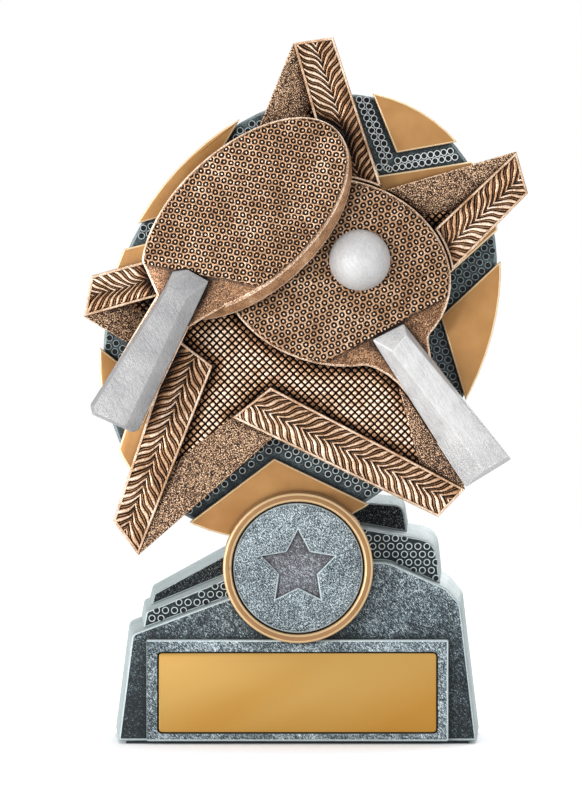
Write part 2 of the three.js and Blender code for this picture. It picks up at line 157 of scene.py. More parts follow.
class Paint:
    """A material in the making. Its patterns are sized in millimetres on the piece."""

    def __init__(self, name):
        self.material = bpy.data.materials.new(name)
        self.material.use_nodes = True
        self.tree = self.material.node_tree
        self.shader = self.tree.nodes["Principled BSDF"]
        metres = self.node("ShaderNodeTexCoord", {}, {}, "Object")
        self.place = self.node("ShaderNodeVectorMath", {"operation": "SCALE"}, {0: metres, 3: 1 / MM})

    def node(self, kind, settings, inputs, output=0):
        """Adds a node: its settings first, then its sockets' values or links. Gives one output."""
        made = self.tree.nodes.new(kind)
        for key, value in settings.items():
            if key == "stops":
                self.set_stops(made.color_ramp, value)
            else:
                setattr(made, key, value)
        for key, value in inputs.items():
            if isinstance(value, Wire):
                self.tree.links.new(value.socket, made.inputs[key])
            else:
                made.inputs[key].default_value = value
        return Wire(self, made.outputs[output])

    @staticmethod
    def set_stops(ramp, stops):
        while len(ramp.elements) < len(stops):
            ramp.elements.new(1.0)
        for element, (position, value) in zip(ramp.elements, stops):
            element.position = position
            element.color = value

    def turned(self, angles=(0, 0, 0), stretch=(1, 1, 1)):
        """The place on the piece, turned by degrees and then scaled."""
        radians = [math.radians(a) for a in angles]
        turned = self.node("ShaderNodeMapping", {}, {"Vector": self.place, "Rotation": radians})
        return self.node("ShaderNodeMapping", {}, {"Vector": turned, "Scale": stretch})

    def noise(self, size, detail=3.0, roughness=0.6, place=None):
        """Soft noise, about 0 to 1, whose blots measure about size millimetres."""
        inputs = {"Vector": place or self.place, "Scale": 1 / size, "Detail": detail,
                  "Roughness": roughness}
        return self.node("ShaderNodeTexNoise", {}, inputs)

    def cells(self, size):
        """Distance to the nearest grain, for grains about size millimetres apart."""
        return self.node("ShaderNodeTexVoronoi", {}, {"Vector": self.place, "Scale": 1 / size})

    def attribute(self, name):
        return self.node("ShaderNodeAttribute", {"attribute_name": name}, {}, "Fac")

    def coordinate(self, axis, place=None):
        """The place along X, Y or Z, in millimetres."""
        return self.node("ShaderNodeSeparateXYZ", {}, {0: place or self.place}, axis)

    def facing(self, axis):
        """How far the surface faces along an axis: 1 is straight along it."""
        normal = self.node("ShaderNodeNewGeometry", {}, {}, "Normal")
        return self.node("ShaderNodeVectorMath", {"operation": "DOT_PRODUCT"}, {0: normal, 1: axis}, "Value")

    def unshaded_share(self, reach):
        """1 in the open, less where other surfaces stand within reach, in millimetres: an ambient-occlusion
        mask, used to paint shade into corners and beside neighbouring parts.
        """
        return self.node("ShaderNodeAmbientOcclusion", {"samples": 6}, {"Distance": reach * MM}, "AO")

    def mix(self, share, first, second):
        return self.node("ShaderNodeMix", {"data_type": "RGBA"}, {0: share, 6: first, 7: second}, 2)

    def ramp(self, value, stops):
        return self.node("ShaderNodeValToRGB", {"stops": stops}, {0: value})

    def finish(self, base, roughness, metallic, height, depth):
        """Connects the surface. height times depth, in millimetres, is the bump."""
        bump = self.node("ShaderNodeBump", {}, {"Height": height, "Distance": depth * MM, "Strength": 1.0})
        wires = {"Base Color": base, "Roughness": roughness, "Metallic": metallic, "Normal": bump}
        for key, value in wires.items():
            if isinstance(value, Wire):
                self.tree.links.new(value.socket, self.shader.inputs[key])
            else:
                self.shader.inputs[key].default_value = value
        return self.material


FRONT = (0.0, -1.0, 0.0)


def antique_silver(name, dark, contrast=1.0, edge_light=0.8, fade=0.0, front_level=None):
    """Silver brushed over slate. dark shifts the piece darker, fade does so towards its foot.

    front_level is where the front stands, in millimetres, on a piece whose recesses stay darker.
    """
    paint = Paint(name)
    strokes = paint.noise(0.19, 3, 0.8, paint.turned((0, 40, 0), (1.0, 1.0, 0.45)))
    blots = paint.noise(1.9, 3, 0.65)
    clouds = paint.noise(10.0, 2, 0.5)
    grain = paint.noise(0.14, 2, 0.7)
    edge = paint.attribute("edge")
    up = paint.coordinate("Z")
    back = paint.coordinate("Y")
    # Painted shade: the occlusion mask darkens the colour in corners and beside neighbouring parts.
    out_of_shade = paint.unshaded_share(1.6).between(0.35, 0.95)
    speckle = (strokes - 0.5) * 3.0 + (grain - 0.5) * 2.2
    tone = speckle * contrast + (blots - 0.5) * 0.6 + (clouds - 0.5) * 0.5
    tone = tone + (up.between(8.0, 32.0) - 0.5) * fade + out_of_shade * 0.4 + (0.08 - dark)
    if front_level is not None:
        recess = back.between(front_level + 0.3, front_level + 0.6)
        tone = tone - recess * 0.1
    mottled = paint.ramp(tone.held(), [
        (0.0, colour(10, 17, 20)), (0.28, colour(42, 53, 58)), (0.5, colour(88, 102, 108)),
        (0.74, colour(146, 160, 165)), (1.0, colour(214, 222, 224))])
    if front_level is not None:
        mottled = paint.mix(recess * 0.45, mottled, colour(92, 82, 88))
    brushed = (clouds * 0.5 + blots * 0.6 + (strokes - 0.5) * 1.6).between(0.1, 1.0)
    wall = paint.mix(brushed, colour(134, 145, 145), colour(176, 186, 185))
    front = paint.facing(FRONT).between(0.55, 0.9)
    body = paint.mix(front, wall, mottled)
    # Lighter edges on the front: wear, and a painted highlight.
    wear_and_highlight = (edge * (strokes * 0.8 + 0.5) * front).held()
    base = paint.mix(wear_and_highlight * edge_light, body, colour(196, 208, 210))
    roughness = 0.58 - tone.held() * 0.16
    pits = grain + strokes * 1.5 + blots * 0.5
    return paint.finish(base, roughness, 0.45, pits, 0.05 * contrast)


def relief_silver():
    """Rings over a dark floor: bright crests, and the hole in each ring a disc painted near-black as painted
    shade.
    """
    paint = Paint("ring_silver_dust_and_hole_shade")
    relief = paint.attribute("relief")
    grain = paint.noise(0.35, 3, 0.7)
    dust_and_hole_shade = (relief + grain * 0.5 - 0.25).held()
    base = paint.ramp(dust_and_hole_shade, [
        (0.0, colour(4, 8, 10)), (0.3, colour(24, 34, 38)), (0.55, colour(92, 108, 112)),
        (0.85, colour(176, 190, 191)), (1.0, colour(222, 230, 230))])
    return paint.finish(base, 0.5, 0.4, grain, 0.03)


def mesh_steel():
    """The dark blue-grey floor under the honeycomb rings."""
    paint = Paint("dark_mesh_steel")
    grain = paint.noise(0.22, 3, 0.8)
    blots = paint.noise(2.2, 3, 0.6)
    edge = paint.attribute("edge")
    # Painted shade: the occlusion mask darkens the floor beside the rims and the star.
    out_of_shade = paint.unshaded_share(1.6).between(0.3, 0.95)
    tone = (grain - 0.5) * 2.2 + (blots - 0.5) * 0.8 + out_of_shade * 0.42 + 0.1
    floor = paint.ramp(tone.held(), [
        (0.1, colour(6, 10, 12)), (0.5, colour(42, 55, 59)), (0.95, colour(122, 138, 141))])
    # Lighter edges: wear, and a painted highlight.
    base = paint.mix((edge * (0.4 + grain)).held() * 0.5, floor, colour(150, 164, 166))
    return paint.finish(base, 0.58 - grain * 0.15, 0.4, grain, 0.04)


def tan_gold(name, low, high, bright):
    """Satin metallic gold with soft clouds and a lighter line along the edges."""
    paint = Paint(name)
    clouds = paint.noise(9.0, 3, 0.55)
    grain = paint.noise(0.3, 3, 0.7)
    edge = paint.attribute("edge")
    # Painted shade: the occlusion mask turns the gold dark brown in corners and beside neighbouring parts.
    out_of_shade = paint.unshaded_share(1.6).between(0.25, 0.8)
    body = paint.mix((clouds.between(0.3, 0.7) * 0.8 + grain * 0.3 - 0.1).held(), low, high)
    body = paint.mix(out_of_shade, colour(70, 46, 20), body)
    # Lighter line along the edges: wear, and a painted highlight.
    base = paint.mix((edge * (0.6 + grain * 0.5)).held() * 0.9, body, bright)
    return paint.finish(base, 0.5 - grain * 0.12, 0.45, grain + clouds * 0.3, 0.02)


GOLDEN_STOPS = (
    (0.0, colour(12, 7, 4)), (0.25, colour(54, 30, 16)), (0.5, colour(122, 77, 44)),
    (0.75, colour(184, 136, 92)), (1.0, colour(244, 216, 182)))

COPPER_STOPS = (
    (0.0, colour(8, 5, 3)), (0.25, colour(50, 30, 17)), (0.5, colour(124, 84, 52)),
    (0.75, colour(188, 145, 106)), (1.0, colour(250, 232, 212)))


def relief_copper(name, lift, reach):
    """Antiqued copper on a cast relief: dark in the grooves, rubbed bright on the crests."""
    paint = Paint(name)
    relief = paint.attribute("relief")
    grain = paint.noise(0.2, 3, 0.75)
    blots = paint.noise(2.4, 3, 0.6)
    clouds = paint.noise(11.0, 2, 0.5)
    # Painted shade: the occlusion mask darkens the copper in corners and beside neighbouring parts.
    out_of_shade = paint.unshaded_share(reach).between(0.2, 0.95)
    tone = relief * 0.85 + (grain - 0.5) * 1.4 + (blots - 0.5) * 0.6 + (clouds - 0.5) * 0.3
    tone = tone + out_of_shade * 0.25 + (lift - 0.25)
    base = paint.ramp(tone.held(), COPPER_STOPS)
    return paint.finish(base, 0.5 - relief * 0.16, 0.5, grain + blots, 0.035)


def plain_copper(name, lift, wall_lift, speckle, depth, reach=2.5, stops=COPPER_STOPS):
    """Antiqued copper on a smooth or grainy casting, brighter along its edges."""
    paint = Paint(name)
    grain = paint.noise(0.15, 3, 0.75)
    grains = paint.cells(0.24)
    blots = paint.noise(2.2, 4, 0.65)
    clouds = paint.noise(8.0, 2, 0.5)
    edge = paint.attribute("edge")
    wall = 1 - paint.facing(FRONT).between(0.6, 0.95)
    # Painted shade: the occlusion mask darkens the copper in corners and beside neighbouring parts.
    out_of_shade = paint.unshaded_share(reach).between(0.3, 0.95)
    speckles = ((grain - 0.5) + (0.45 - grains) * 0.4) * speckle * (1 - wall * 0.6)
    tone = 0.1 + lift + wall * wall_lift + speckles
    # Lighter edges: wear, and a painted highlight.
    tone = tone + (blots - 0.5) * 0.5 + (clouds - 0.5) * 0.4 + edge * 0.3 + out_of_shade * 0.4
    base = paint.ramp(tone.held(), stops)
    return paint.finish(base, 0.5, 0.5, grain - grains * 0.8 + blots * 0.4, depth)


def satin_silver(name, lift, roughness):
    """Bright satin silver with fine rubbed lines."""
    paint = Paint(name)
    lines = paint.noise(0.3, 3, 0.7, paint.turned((0, 30, 0), (1.0, 1.0, 0.12)))
    clouds = paint.noise(5.0, 3, 0.6)
    grain = paint.noise(0.35, 3, 0.75)
    edge = paint.attribute("edge")
    # Slightly lighter edges: wear, and a painted highlight.
    tone = (lines * 0.5 + clouds * 0.55 + grain * 0.35 + edge * 0.06 + lift - 0.2).held()
    base = paint.ramp(tone, [
        (0.1, colour(120, 119, 120)), (0.5, colour(156, 155, 155)), (0.9, colour(196, 195, 194))])
    return paint.finish(base, roughness - lines * 0.1, 0.45, lines + grain, 0.12)


def plaque_gold():
    """Gold plate, brushed and shaded on a slant."""
    paint = Paint("brushed_plaque_gold")
    slant = paint.turned((0, 24, 0))
    bands = paint.noise(16.0, 1, 0.4, paint.turned((0, 24, 0), (0.35, 1.0, 1.6)))
    brushed = paint.noise(0.16, 3, 0.7, paint.turned((0, 24, 0), (0.03, 1.0, 1.0)))
    falling = paint.coordinate("Z", slant).between(-12.0, 26.0)
    tone = (falling * 0.6 + (bands - 0.5) * 2.6 + 0.2 + (brushed - 0.5) * 0.12).held()
    base = paint.mix(tone, colour(166, 118, 38), colour(174, 136, 68))
    return paint.finish(base, 0.46 - brushed * 0.1, 0.4, brushed, 0.006)


def felt():
    paint = Paint("dark_felt")
    fibres = paint.noise(0.35, 4, 0.8, paint.turned((0, 0, 40), (1.0, 0.25, 1.0)))
    tufts = paint.noise(2.5, 3, 0.6)
    base = paint.mix((fibres * 0.7 + tufts * 0.3).held(), colour(16, 18, 21), colour(52, 55, 60))
    return paint.finish(base, 0.95, 0.0, fibres, 0.12)


def foam_tape():
    paint = Paint("white_foam_tape")
    pores = paint.cells(0.25)
    tone = (pores * 0.6 + paint.noise(2.0) * 0.4).held()
    base = paint.mix(tone, colour(206, 203, 194), colour(238, 236, 230))
    return paint.finish(base, 0.8, 0.0, pores, 0.05)


# ---- Flat shapes, as lists of (along, up) in millimetres ----------------------------------------

def grow(outline, distance):
    """The counter-clockwise outline moved out by a distance, or in where it is negative."""
    grown = []
    count = len(outline)
    for k in range(count):
        before, here, after = (Vector(outline[(k + step) % count]) for step in (-1, 0, 1))
        first = (here - before).normalized()
        second = (after - here).normalized()
        out = Vector((first.y, -first.x)) + Vector((second.y, -second.x))
        grown.append(here + out * (2 * distance / out.length_squared))
    return grown


def nearest_on(outline, points):
    """For each point: is it inside the outline, and the nearest point of the outline's edge."""
    corners = np.array([tuple(p) for p in outline], float)
    inside = np.zeros(len(points), bool)
    best = np.full(len(points), np.inf)
    nearest = np.zeros((len(points), 2))
    for a, b in zip(corners, np.roll(corners, -1, axis=0)):
        side = b - a
        share = np.clip(((points - a) @ side) / (side @ side), 0, 1)
        foot = a + share[:, None] * side
        distance = np.linalg.norm(points - foot, axis=1)
        closer = distance < best
        best[closer] = distance[closer]
        nearest[closer] = foot[closer]
        crosses = (a[1] > points[:, 1]) != (b[1] > points[:, 1])
        rise = np.where(b[1] == a[1], 1e-12, b[1] - a[1])
        inside ^= crosses & (points[:, 0] < (b[0] - a[0]) * (points[:, 1] - a[1]) / rise + a[0])
    return inside, nearest, best


def lattice(outline, pitch, row, angle, margin):
    """Staggered rows of points, turned by an angle, at least margin inside the outline."""
    corners = np.array([tuple(p) for p in outline], float)
    middle = (corners.min(0) + corners.max(0)) / 2
    reach = np.linalg.norm(corners.max(0) - corners.min(0)) / 2
    turn = math.radians(angle)
    along = np.array([math.cos(turn), math.sin(turn)])
    across = np.array([-math.sin(turn), math.cos(turn)])
    found = []
    for j in range(-int(reach / row) - 1, int(reach / row) + 2):
        for i in range(-int(reach / pitch) - 1, int(reach / pitch) + 2):
            found.append(middle + along * pitch * (i + 0.5 * (j % 2)) + across * row * j)
    found = np.array(found)
    inside, _, distance = nearest_on(outline, found)
    return found[np.where(inside, distance, -distance) > margin]


# ---- Faces of the solids --------------------------------------------------------------------------

def merged(node):
    """A copy of a solid's mesh with its loose triangles joined into whole faces."""
    shape = bmesh.new()
    shape.from_mesh(NODES[node].data)
    bmesh.ops.remove_doubles(shape, verts=shape.verts, dist=0.002 * MM)
    bmesh.ops.dissolve_limit(shape, angle_limit=math.radians(0.8), verts=shape.verts, edges=shape.edges)
    return shape


def front_face(shape):
    """The largest face of a shape that looks to the front."""
    fronts = [f for f in shape.faces if f.normal.y < -0.9]
    return max(fronts, key=lambda f: f.calc_area())


class Face:
    """The largest flat face of a node that looks to the front, and its frame in millimetres."""

    def __init__(self, node):
        shape = merged(node)
        face = front_face(shape)
        self.normal = face.normal.copy()
        along = (Vector((1, 0, 0)) - self.normal * self.normal.x).normalized()
        up = self.normal.cross(along)
        turn = Matrix((along, up, self.normal)).transposed().to_4x4()
        anchor = self.normal * face.verts[0].co.dot(self.normal)
        self.stand = Matrix.Translation(anchor) @ turn @ Matrix.Scale(MM, 4)
        lie = self.stand.inverted()
        self.outline = [(lie @ v.co).to_2d() for v in face.verts]
        shape.free()

    def lay(self, point):
        """A point of the frame as it lies on this face."""
        return (self.stand.inverted() @ Vector(point)).to_2d()

    def outline_on(self, other):
        """This face's outline as it lies on another face."""
        return [other.lay(self.stand @ Vector((*p, 0))) for p in self.outline]


# ---- Pieces ---------------------------------------------------------------------------------------

def show(name, mesh, nodes=()):
    """Links a finished mesh as a piece of the trophy."""
    piece = bpy.data.objects.new(name, mesh)
    bpy.context.scene.collection.objects.link(piece)
    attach(piece, "root")
    if nodes:
        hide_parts(*nodes)
    return piece


def evaluated(piece):
    """The piece's mesh with its modifiers applied."""
    bpy.context.view_layer.update()
    graph = bpy.context.evaluated_depsgraph_get()
    return bpy.data.meshes.new_from_object(
        piece.evaluated_get(graph), preserve_all_data_layers=True, depsgraph=graph)


def discard(*pieces):
    for piece in pieces:
        bpy.data.objects.remove(piece)


def casting(node, material, soften, sink=0.0, segments=3, corner=28, sharp_round=None):
    """A solid with softened outer edges, marked to be painted lighter, for wear and as a painted highlight.
    sink lowers its front face, in millimetres.

    The edges close round the piece named sharp_round stay sharp.
    """
    shape = merged(node)
    weight = shape.edges.layers.float.new("bevel_weight_edge")
    for edge in shape.edges:
        if edge.is_convex and edge.calc_face_angle(0.0) > math.radians(corner):
            edge[weight] = 1.0
    if sharp_round:
        low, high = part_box(sharp_round)
        for edge in shape.edges:
            middle = (edge.verts[0].co + edge.verts[1].co) / 2
            if low.x - MM < middle.x < high.x + MM and low.z - MM < middle.z < high.z + MM:
                edge[weight] = 0.0
    if sink:
        front = front_face(shape)
        shift = front.normal * (-sink * MM)
        for v in front.verts:
            v.co += shift
    mesh = bpy.data.meshes.new(node)
    shape.to_mesh(mesh)
    shape.free()
    rough = bpy.data.objects.new("rough", mesh)
    bpy.context.scene.collection.objects.link(rough)
    mesh.materials.append(material)
    mesh.materials.append(material)
    bevel = rough.modifiers.new("edges", "BEVEL")
    bevel.limit_method = "WEIGHT"
    bevel.width = soften * MM
    bevel.segments = segments
    bevel.use_clamp_overlap = False
    bevel.material = 1
    bevel.miter_outer = "MITER_ARC"
    finished = evaluated(rough)
    discard(rough)
    finished.name = node + "_mesh"
    edge = finished.attributes.new("edge", "FLOAT", "CORNER")
    # Bevel faces carry the edge mark, which the paints lighten: wear, and a painted highlight.
    wear_and_highlight = np.zeros(len(finished.loops), np.float32)
    for face in finished.polygons:
        if face.material_index == 1:
            wear_and_highlight[face.loop_start:face.loop_start + face.loop_total] = 1.0
            face.material_index = 0
    edge.data.foreach_set("value", wear_and_highlight)
    finished.materials.pop(index=1)
    finished.shade_smooth()
    finished.set_sharp_from_angle(angle=math.radians(32))
    return show(node + "_casting", finished, [node])


def loose(name, verts, faces, relief):
    """A shape to be repeated, with how bright each point is painted: mostly how high it stands in its
    relief, with painted shade and painted light folded in by some shapes.
    """
    mesh = bpy.data.meshes.new(name)
    mesh.from_pydata([tuple(v) for v in verts], [], faces)
    values = mesh.attributes.new("relief", "FLOAT", "POINT")
    values.data.foreach_set("value", np.array(relief, np.float32))
    mesh.shade_smooth()
    piece = bpy.data.objects.new(name, mesh)
    bpy.context.scene.collection.objects.link(piece)
    return piece


def turned_shape(name, rings, sides):
    """A shape of stacked round rings, each (radius, height, relief), closed by its last ring."""
    verts, relief, faces = [], [], []
    for radius, height, value in rings:
        for k in range(sides):
            turn = 2 * math.pi * k / sides
            verts.append((radius * math.cos(turn), radius * math.sin(turn), height))
            relief.append(value)
    for r in range(len(rings) - 1):
        for k in range(sides):
            after = (k + 1) % sides
            faces.append((r * sides + k, r * sides + after, (r + 1) * sides + after, (r + 1) * sides + k))
    faces.append([(len(rings) - 1) * sides + k for k in range(sides)])
    return loose(name, verts, faces, relief)


def pip_cell(pitch, row):
    """One cell of a rubber: a flat web with a round moat, and a pip standing in the moat."""
    sides = 10
    half = (pitch / 2, row / 2)
    rings = ((0.57, -0.02, 0.6), (0.5, -PIP_DEPTH, 0.0), (0.33, -PIP_DEPTH, 0.0), (0.17, 0.0, 0.95))
    verts, relief, faces = [], [], []
    turns = [2 * math.pi * (k + 0.5) / sides for k in range(sides)]
    for turn in turns:
        ray = (math.cos(turn), math.sin(turn))
        reach = min(h / abs(r) for h, r in zip(half, ray) if abs(r) > 1e-6)
        verts.append((ray[0] * reach, ray[1] * reach, 0.0))
        relief.append(0.9)
    for radius, height, value in rings:
        verts += [(radius * math.cos(turn), radius * math.sin(turn), height) for turn in turns]
        relief += [value] * sides
    corner_after = {}
    for x, y in ((1, 1), (-1, 1), (-1, -1), (1, -1)):
        turn = math.atan2(y * half[1], x * half[0]) % (2 * math.pi)
        corner_after[int(turn / (2 * math.pi / sides) - 0.5)] = len(verts)
        verts.append((x * half[0], y * half[1], 0.0))
        relief.append(0.8)
    for r in range(len(rings)):
        for k in range(sides):
            after = (k + 1) % sides
            corner = [corner_after[k]] if r == 0 and k in corner_after else []
            faces.append([r * sides + k, *corner, r * sides + after,
                          (r + 1) * sides + after, (r + 1) * sides + k])
    faces.append([len(rings) * sides + k for k in range(sides)])
    return loose("pip_cell", verts, faces, relief)


def knurl_pillow():
    """One small square pillow of the star's field, standing on its corner."""
    half = KNURL_SIZE / 2
    levels = ((half, -KNURL_DEPTH, -0.2), (half * 0.8, -0.24, 0.0), (half * 0.66, -0.05, 0.8),
              (half * 0.34, 0.0, 0.95))
    verts, relief, faces = [], [], []
    for reach, height, value in levels:
        verts += [(x * reach, y * reach, height) for x, y in ((1, 0), (0, 1), (-1, 0), (0, -1))]
        relief += [value] * 4
    for r in range(len(levels) - 1):
        for k in range(4):
            after = (k + 1) % 4
            faces.append((r * 4 + k, r * 4 + after, (r + 1) * 4 + after, (r + 1) * 4 + k))
    faces.append([(len(levels) - 1) * 4 + k for k in range(4)])
    return loose("knurl_pillow", verts, faces, relief)


def honeycomb_ring(shine):
    """One raised ring of unit radius round a hole, closed by a disc painted near-black: the painted shade of
    the hole.
    """
    # The last ring closes the hole with a disc whose value of -0.3 paints it near-black: painted shade.
    rings = ((1.0, -0.02, 0.5 * shine), (0.95, RING_HEIGHT, shine), (0.76, RING_HEIGHT, shine),
             (0.66, 0.02, -0.3))
    return turned_shape("honeycomb_ring", rings, RING_SIDES)


def leaf(name, pitch, sweep, side, shine):
    """One S-curved leaf beside the vein. It reaches sideways and sweeps along the vein to the tip."""
    section = ((-0.5, 0.0, 0.05), (-0.4, 0.7, 0.66), (-0.27, 0.6, 0.62), (-0.19, 0.3, 0.12),
               (-0.06, 0.9, 0.8), (0.1, 1.0, 1.0), (0.33, 0.85, 0.84), (0.47, 0.0, 0.0))
    verts, relief, faces = [], [], []
    for step in range(LEAF_STEPS + 1):
        t = step / LEAF_STEPS
        forward = sweep * (t + 0.45 * math.sin(2 * math.pi * t) / (2 * math.pi)) - 0.25
        width = pitch * (0.7 + 0.4 * math.sin(math.pi * t ** 0.8) ** 0.8)
        height = RIBBON_DEPTH * (0.5 + 0.5 * math.sin(math.pi * t ** 0.8))
        for offset, rise, value in section:
            verts.append((forward + offset * width, side * LEAF_REACH * t, -RIBBON_DEPTH + rise * height))
            # shine paints this side of the ribbon lighter or darker: painted light.
            relief.append(value * shine)
    count = len(section)
    for step in range(LEAF_STEPS):
        for k in range(count - 1):
            a = step * count + k
            face = (a, a + 1, a + count + 1, a + count)
            faces.append(face if side > 0 else face[::-1])
    return loose(name, verts, faces, relief)


# ---- Geometry trees that repeat a shape -----------------------------------------------------------

class Tree:
    """A geometry tree in the making, with named inputs."""

    def __init__(self, name, inputs):
        self.group = bpy.data.node_groups.new(name, "GeometryNodeTree")
        face = self.group.interface
        face.new_socket("Geometry", in_out="INPUT", socket_type="NodeSocketGeometry")
        for label, kind in inputs.items():
            face.new_socket(label, in_out="INPUT", socket_type=kind)
        face.new_socket("Geometry", in_out="OUTPUT", socket_type="NodeSocketGeometry")
        self.given = self.group.nodes.new("NodeGroupInput").outputs

    def node(self, kind, settings, inputs, output=0):
        made = self.group.nodes.new(kind)
        for key, value in settings.items():
            setattr(made, key, value)
        for key, value in inputs.items():
            if isinstance(value, bpy.types.NodeSocket):
                self.group.links.new(value, made.inputs[key])
            else:
                made.inputs[key].default_value = value
        return made.outputs[output]

    def repeated(self, points, item, rotation):
        """The item at every point, turned by the given rotation and scaled at random."""
        shape = self.node("GeometryNodeObjectInfo", {}, {"Object": item}, "Geometry")
        span = {2: self.given["Smallest"], 3: self.given["Largest"], "Seed": self.given["Seed"]}
        scale = self.node("FunctionNodeRandomValue", {"data_type": "FLOAT"}, span, 1)
        return self.node("GeometryNodeInstanceOnPoints", {},
                         {"Points": points, "Instance": shape, "Rotation": rotation, "Scale": scale})

    def close(self, geometry):
        real = self.node("GeometryNodeRealizeInstances", {}, {"Geometry": geometry})
        painted = self.node("GeometryNodeSetMaterial", {},
                            {"Geometry": real, "Material": self.given["Finish"]})
        end = self.group.nodes.new("NodeGroupOutput")
        self.group.links.new(painted, end.inputs["Geometry"])
        return self.group


SPREAD = {"Smallest": "NodeSocketFloat", "Largest": "NodeSocketFloat", "Seed": "NodeSocketInt",
          "Finish": "NodeSocketMaterial"}


def on_points_tree():
    """Puts an item on every point, turned by one angle."""
    tree = Tree("item_on_points", {"Item": "NodeSocketObject", "Turn": "NodeSocketFloat", **SPREAD})
    angles = tree.node("ShaderNodeCombineXYZ", {}, {"Z": tree.given["Turn"]})
    turn = tree.node("FunctionNodeEulerToRotation", {}, {"Euler": angles})
    return tree.close(tree.repeated(tree.given["Geometry"], tree.given["Item"], turn))


def along_vein_tree():
    """Sets a left and a right leaf at every pitch along a vein."""
    tree = Tree("leaves_along_vein", {"Left leaf": "NodeSocketObject", "Right leaf": "NodeSocketObject",
                                      "Pitch": "NodeSocketFloat", **SPREAD})
    vein = tree.node("GeometryNodeMeshToCurve", {}, {"Mesh": tree.given["Geometry"]})
    stations = tree.node("GeometryNodeResampleCurve", {"mode": "LENGTH"},
                         {"Curve": vein, "Length": tree.given["Pitch"]})
    tangent = tree.node("GeometryNodeInputTangent", {}, {})
    turn = tree.node("FunctionNodeAlignRotationToVector", {"axis": "X", "pivot_axis": "Z"},
                     {"Vector": tangent})
    left = tree.repeated(stations, tree.given["Left leaf"], turn)
    right = tree.repeated(stations, tree.given["Right leaf"], turn)
    both = tree.node("GeometryNodeJoinGeometry", {}, {"Geometry": left})
    join = both.node
    tree.group.links.new(right, join.inputs["Geometry"])
    return tree.close(both)


def grown_by(group, verts, edges, values):
    """The flat mesh that a geometry tree makes from points and edges."""
    mesh = bpy.data.meshes.new("seed")
    mesh.from_pydata([(v[0], v[1], 0.0) for v in verts], edges, [])
    seed = bpy.data.objects.new("seed", mesh)
    bpy.context.scene.collection.objects.link(seed)
    modifier = seed.modifiers.new("repeat", "NODES")
    modifier.node_group = group
    for item in group.interface.items_tree:
        if item.in_out == "INPUT" and item.name in values:
            modifier[item.identifier] = values[item.name]
    made = evaluated(seed)
    seed.modifiers.clear()
    discard(seed)
    return made


def places_of(mesh):
    """The places of a mesh's points, one row each."""
    places = np.zeros(len(mesh.vertices) * 3, np.float32)
    mesh.vertices.foreach_get("co", places)
    return places.reshape(-1, 3)


def cropped(mesh, outline):
    """Draws what lies outside the outline back onto its edge."""
    places = places_of(mesh)
    inside, nearest, _ = nearest_on(outline, places[:, :2].astype(float))
    places[~inside, :2] = nearest[~inside]
    mesh.vertices.foreach_set("co", places.ravel())
    mesh.update()
    return mesh


def shade_beside(mesh, face, neighbours, strength):
    """Darkens the relief beside and under its neighbours: painted shade, full under them and fading with
    distance.
    """
    places = places_of(mesh)[:, :2].astype(float)
    relief = mesh.attributes["relief"].data
    values = np.zeros(len(places), np.float32)
    relief.foreach_get("value", values)
    for node in neighbours:
        inside, _, distance = nearest_on(Face(node).outline_on(face), places)
        near = np.where(inside, 1.0, np.exp(-(distance / SHADE_REACH) ** 2))
        values *= 1 - strength * near
    relief.foreach_set("value", values)
    return mesh


def wandered(mesh, amount, wavelength):
    """Lets neat rows wander a little, as hand-cut moulds do."""
    places = places_of(mesh)
    turns = places[:, :2] * (2 * math.pi / wavelength)
    along = np.sin(turns[:, 1] * 1.3 + 0.7) + np.sin(turns[:, 0] * 0.83 + turns[:, 1] * 0.51 + 2.1)
    across = np.sin(turns[:, 0] * 1.17 + 1.9) + np.sin(turns[:, 1] * 0.77 - turns[:, 0] * 0.6 + 4.0)
    places[:, 0] += amount / 2 * along
    places[:, 1] += amount / 2 * across
    mesh.vertices.foreach_set("co", places.ravel())
    return mesh


def stood(mesh, face):
    """The flat mesh stood on its face, with its leftover slivers cleaned away."""
    shape = bmesh.new()
    shape.from_mesh(mesh)
    bmesh.ops.dissolve_degenerate(shape, dist=0.002, edges=shape.edges)
    shape.to_mesh(mesh)
    shape.free()
    mesh.transform(face.stand)
    mesh.shade_smooth()
    mesh.set_sharp_from_angle(angle=math.radians(60))
    return mesh


ON_POINTS = on_points_tree()
ALONG_VEIN = along_vein_tree()


def spread(points, item, material, angle, smallest, largest, seed):
    """The item repeated on every point, turned by an angle in degrees."""
    values = {"Item": item, "Turn": math.radians(angle), "Smallest": smallest, "Largest": largest,
              "Seed": seed, "Finish": material}
    return grown_by(ON_POINTS, points, [], values)


# ---- The trophy -----------------------------------------------------------------------------------

def build_base(silver, frame_silver, middle_silver, rear_silver, rings):
    casting("base_block", silver, 0.42)
    casting("base_middle_step", middle_silver, 0.3)
    casting("base_rear_step", rear_silver, 0.3)
    casting("plaque_frame", frame_silver, 0.34, sharp_round="plaque")
    face = Face("base_middle_step")
    ring = honeycomb_ring(0.9)
    points = lattice(face.outline, STEP_RING_PITCH, STEP_RING_ROW, 0, STEP_RING_MARGIN)
    mesh = spread(points, ring, rings, 0, STEP_RING_RADIUS * SMALLEST_RING, STEP_RING_RADIUS, 3)
    mesh = cropped(mesh, grow(face.outline, -0.15))
    show("middle_step_rings", stood(mesh, face))
    discard(ring)


def build_medallion_and_plaque(silver, ring_gold, tape, gold):
    casting("medallion_cup", ring_gold, 0.42, segments=4)
    casting("medallion_insert", silver, 0.24)
    casting("plaque", gold, 0.12)
    casting("plaque_tape", tape, 0.04)
    casting("medallion_tape", tape, 0.04)


def angle_from(leg, others):
    """How far each of the other directions is turned away from a leg."""
    return np.abs([math.atan2(leg[0] * e[1] - leg[1] * e[0], leg @ e) for e in others])


